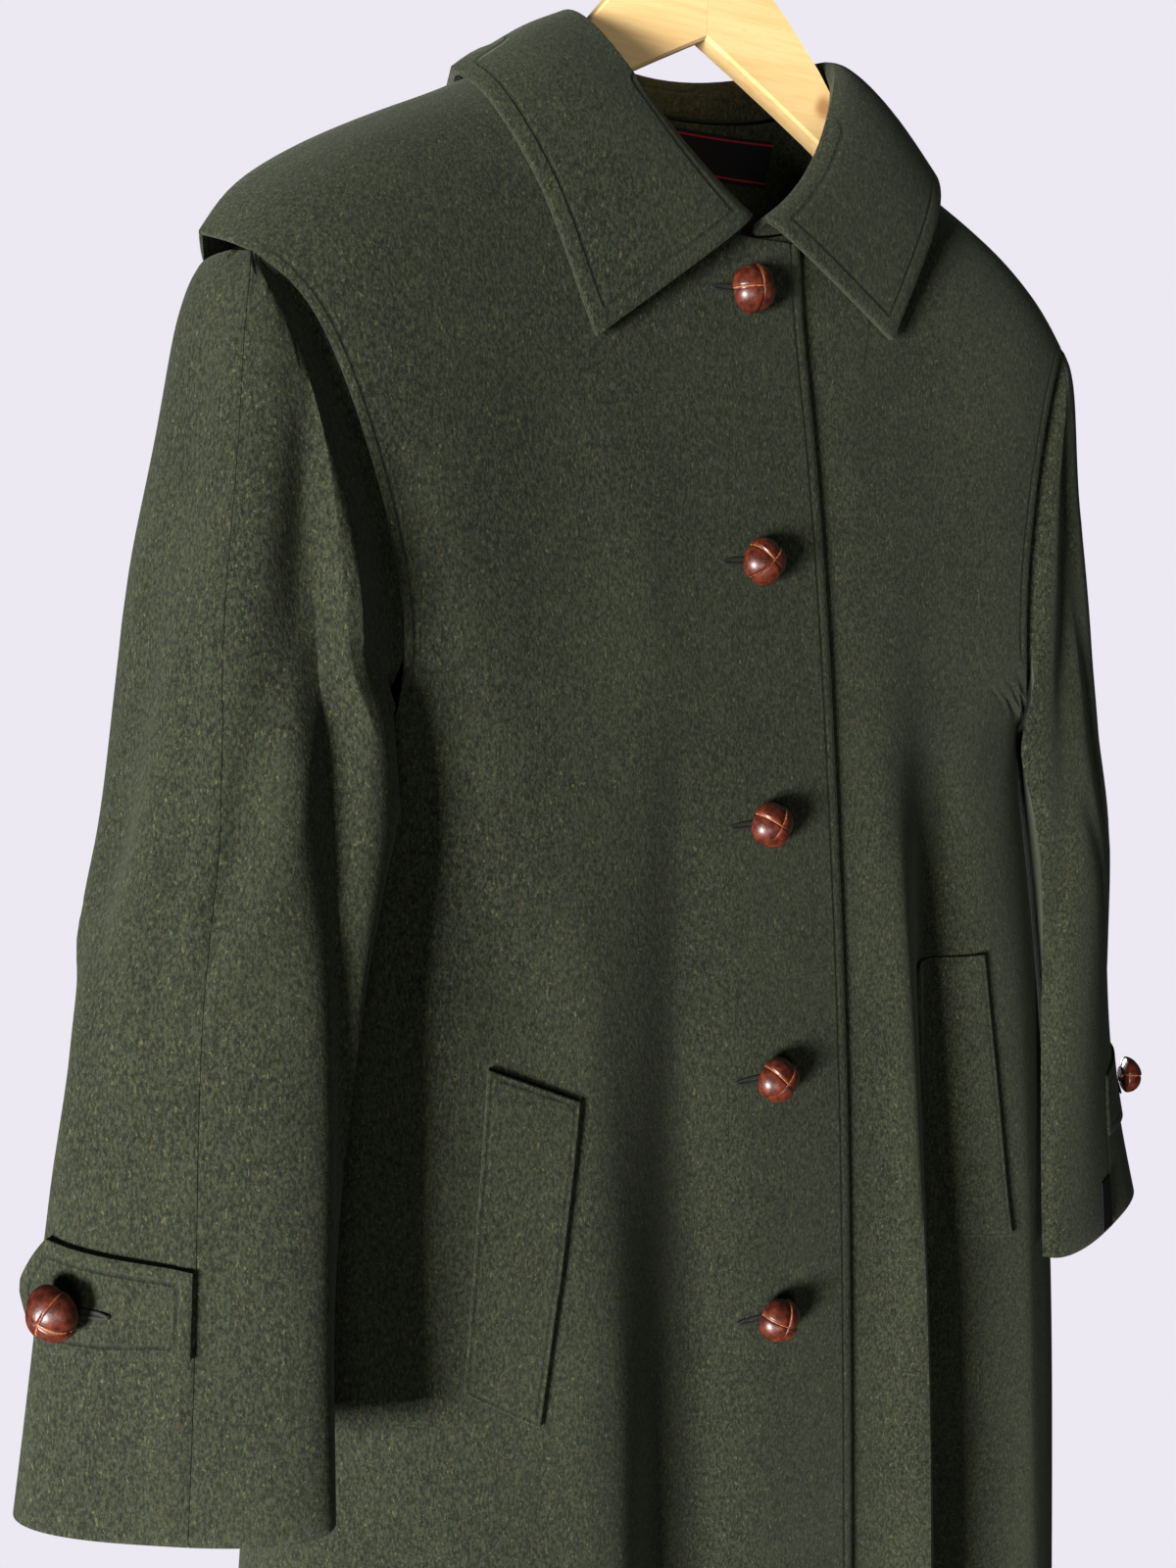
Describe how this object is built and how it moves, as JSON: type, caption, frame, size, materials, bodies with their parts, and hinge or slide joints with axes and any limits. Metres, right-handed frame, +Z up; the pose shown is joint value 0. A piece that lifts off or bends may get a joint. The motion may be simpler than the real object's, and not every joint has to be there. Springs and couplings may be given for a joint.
{
  "type": "loden coat on a wooden hanger",
  "caption": "Loden coat with blind shoulder panels over wide sleeves, a turned-down collar, domed leather buttons and slanted welt pockets, hung on a wooden hanger.",
  "frame": {"origin": "the point under the bend of the hanger's hook where a rail or peg carries it", "axes": "+Z up; the coat's front faces -Y; its wearer's left is at +X"},
  "size_m": [0.747, 0.2296, 1.2535],
  "materials": {
    "loden": "milled wool, matt, short nap brushed downwards, dark olive green heather",
    "leather": "polished red-brown leather strips",
    "wood": "clear varnished beech",
    "steel": "bright wire",
    "woven": "fine woven label, black with a red border"
  },
  "bodies": {
    "root": {"back": "loden", "front_right": "loden", "front_left": "loden", "sleeve_right_front": "loden", "sleeve_right_back": "loden", "sleeve_left_front": "loden", "sleeve_left_back": "loden", "collar": "loden", "welt_right": "loden", "welt_left": "loden", "tab_right": "loden", "tab_left": "loden", "button_1": "leather", "button_2": "leather", "button_3": "leather", "button_4": "leather", "button_5": "leather", "button_tab_right": "leather", "button_tab_left": "leather", "neck_label": "woven", "cuff_label": "woven", "hanger_right": "wood", "hanger_left": "wood", "hook": "steel"}
  },
  "joints": []
}
